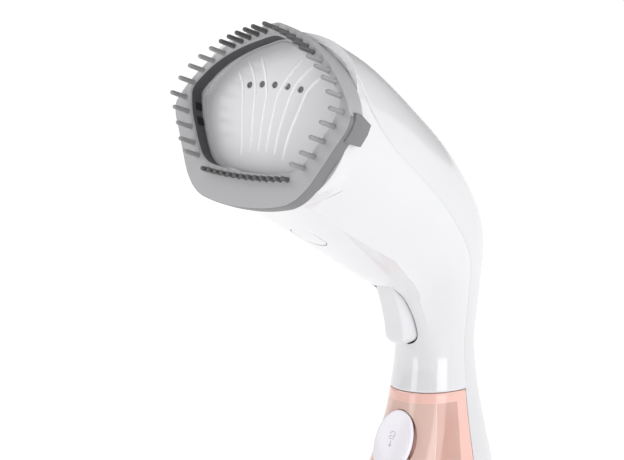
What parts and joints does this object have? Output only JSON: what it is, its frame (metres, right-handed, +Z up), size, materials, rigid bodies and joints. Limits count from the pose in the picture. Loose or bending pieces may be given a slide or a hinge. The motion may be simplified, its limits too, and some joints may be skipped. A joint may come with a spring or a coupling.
{
  "type": "garment steamer",
  "caption": "Handheld garment steamer with a slanted head, a pentagonal bristle frame around a steam plate, a sprung trigger and a detachable translucent tank.",
  "frame": {"origin": "centre of the base underside on the handle axis", "axes": "+Z up along the handle, -Y towards the steam face, X across"},
  "size_m": [0.105, 0.1975, 0.2971],
  "materials": {
    "white_gloss": "glossy white",
    "soft_white_gloss": "glossy soft white",
    "plate_white": "satin heat-resistant white",
    "cast_aluminium": "as cast",
    "steel": "plain",
    "pump_steel": "black coated",
    "red_silicone": "matte",
    "black_plastic": "matte",
    "natural_plastic": "matte",
    "tube_silicone": "translucent",
    "dark_plastic": "matte",
    "dark_rubber": "matte",
    "board_green": "satin",
    "red_plastic": "matte",
    "clear_lens": "clear",
    "grey_plastic": "satin",
    "grey_side": "satin",
    "dark_bristle": "satin",
    "rose_tank": "translucent rose",
    "latch_white": "satin white"
  },
  "bodies": {
    "housing": {"shell_front": "white_gloss", "shell_back": "soft_white_gloss", "spine_wall": "soft_white_gloss", "head_bezel": "white_gloss", "steam_plate": "plate_white", "steam_diffuser": "natural_plastic", "steam_chamber": "cast_aluminium", "chamber_cap": "cast_aluminium", "steam_duct": "natural_plastic", "heating_element": "steel", "chamber_cover": "cast_aluminium", "thermostat": "natural_plastic", "thermal_fuse": "natural_plastic", "steam_gasket": "red_silicone", "head_frame": "black_plastic", "pump": "pump_steel", "pump_bracket": "dark_plastic", "feed_tube": "tube_silicone", "supply_tube": "tube_silicone", "circuit_board": "board_green", "microswitch": "black_plastic", "switch_bracket": "dark_plastic", "trigger_pin": "steel", "trigger_cradle": "natural_plastic", "trigger_spring": "steel", "underside_cap": "white_gloss", "tank_dock": "natural_plastic", "dock_seal": "dark_rubber", "spine_rail": "soft_white_gloss", "cord_gland": "dark_plastic", "base_pad": "dark_rubber", "housing_screws": "steel", "indicator": "clear_lens"},
    "brush": {"bristle_frame": "grey_plastic", "frame_clips": "grey_side", "bristles_light": "grey_plastic", "bristles_dark": "dark_bristle"},
    "trigger": {"trigger": "white_gloss"},
    "plunger": {"switch_plunger": "red_plastic"},
    "tank": {"tank_shell": "rose_tank", "tank_lid": "rose_tank", "tank_spigot": "natural_plastic", "tank_foot": "rose_tank", "suction_tube": "tube_silicone", "tank_filter": "dark_plastic", "latch_pin": "steel", "latch_spring": "steel"},
    "latch": {"latch": "latch_white"}
  },
  "joints": [
    {"name": "brush_slide", "type": "slide", "parent": "housing", "child": "brush", "axis": [0, -0.9494, 0.314], "range_m": [0, 0.025]},
    {"name": "trigger_press", "type": "hinge", "parent": "housing", "child": "trigger", "pos_m": [0, -0.0285, 0.156], "axis": [1, 0, 0], "range_deg": [0, 6], "stiffness_Nm_per_rad": 0.8, "springref_deg": -5.73},
    {"name": "plunger_press", "type": "slide", "parent": "housing", "child": "plunger", "axis": [0, 1, 0], "range_m": [0, 0.0022]},
    {"name": "latch_press", "type": "hinge", "parent": "tank", "child": "latch", "pos_m": [0, -0.03623, 0.07317], "axis": [-1, 0, 0], "range_deg": [0, 5], "stiffness_Nm_per_rad": 0.5, "springref_deg": -5.73},
    {"name": "tank_slide", "type": "slide", "parent": "housing", "child": "tank", "axis": [0, 0, 1], "range_m": [-0.1, 0]}
  ],
  "couplings": [
    {"joint": "plunger_press", "follows": "trigger_press", "m_per_rad": 0.02}
  ]
}
